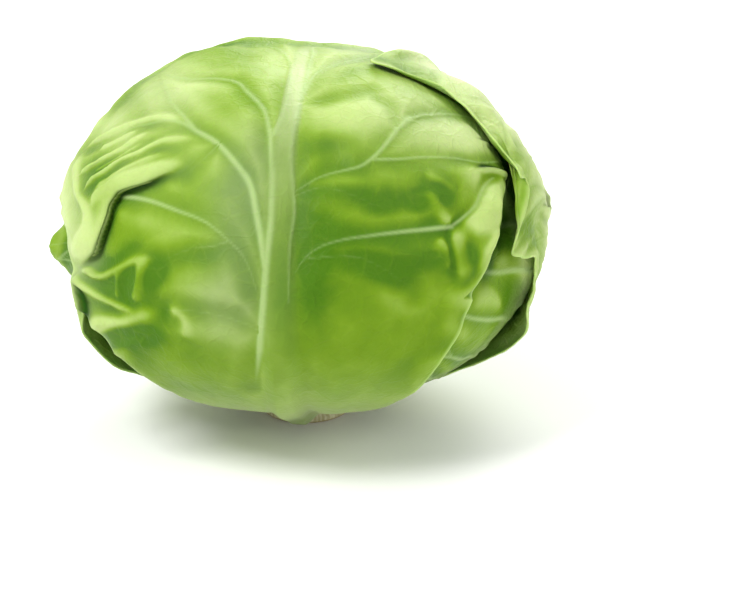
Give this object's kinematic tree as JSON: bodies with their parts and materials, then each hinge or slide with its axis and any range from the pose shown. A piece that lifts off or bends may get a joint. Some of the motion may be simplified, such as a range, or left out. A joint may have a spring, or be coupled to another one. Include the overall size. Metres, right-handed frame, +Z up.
{
  "type": "cabbage head",
  "caption": "Round head of white cabbage: a dense heart in loose wrapper leaves with thick midribs and branching veins, standing on its flat cut stem.",
  "frame": {"origin": "middle of the stem's flat cut face, which the head stands on", "axes": "+Z up through the head, away from the cut face; -Y is the front, where the broad front leaf's midrib runs up; +X is to the right as seen from the front"},
  "size_m": [0.1846, 0.1906, 0.1459],
  "materials": {
    "heart_flesh": "satin",
    "stem_flesh": "matte",
    "front_leaf": "satin",
    "side_leaf": "satin",
    "under_leaf": "satin"
  },
  "bodies": {
    "root": {"heart": "heart_flesh", "stem": "stem_flesh", "leaf_back": "side_leaf", "leaf_under_left": "under_leaf", "leaf_under_right": "under_leaf", "leaf_left": "side_leaf", "leaf_front": "front_leaf", "leaf_right": "side_leaf"}
  },
  "joints": []
}
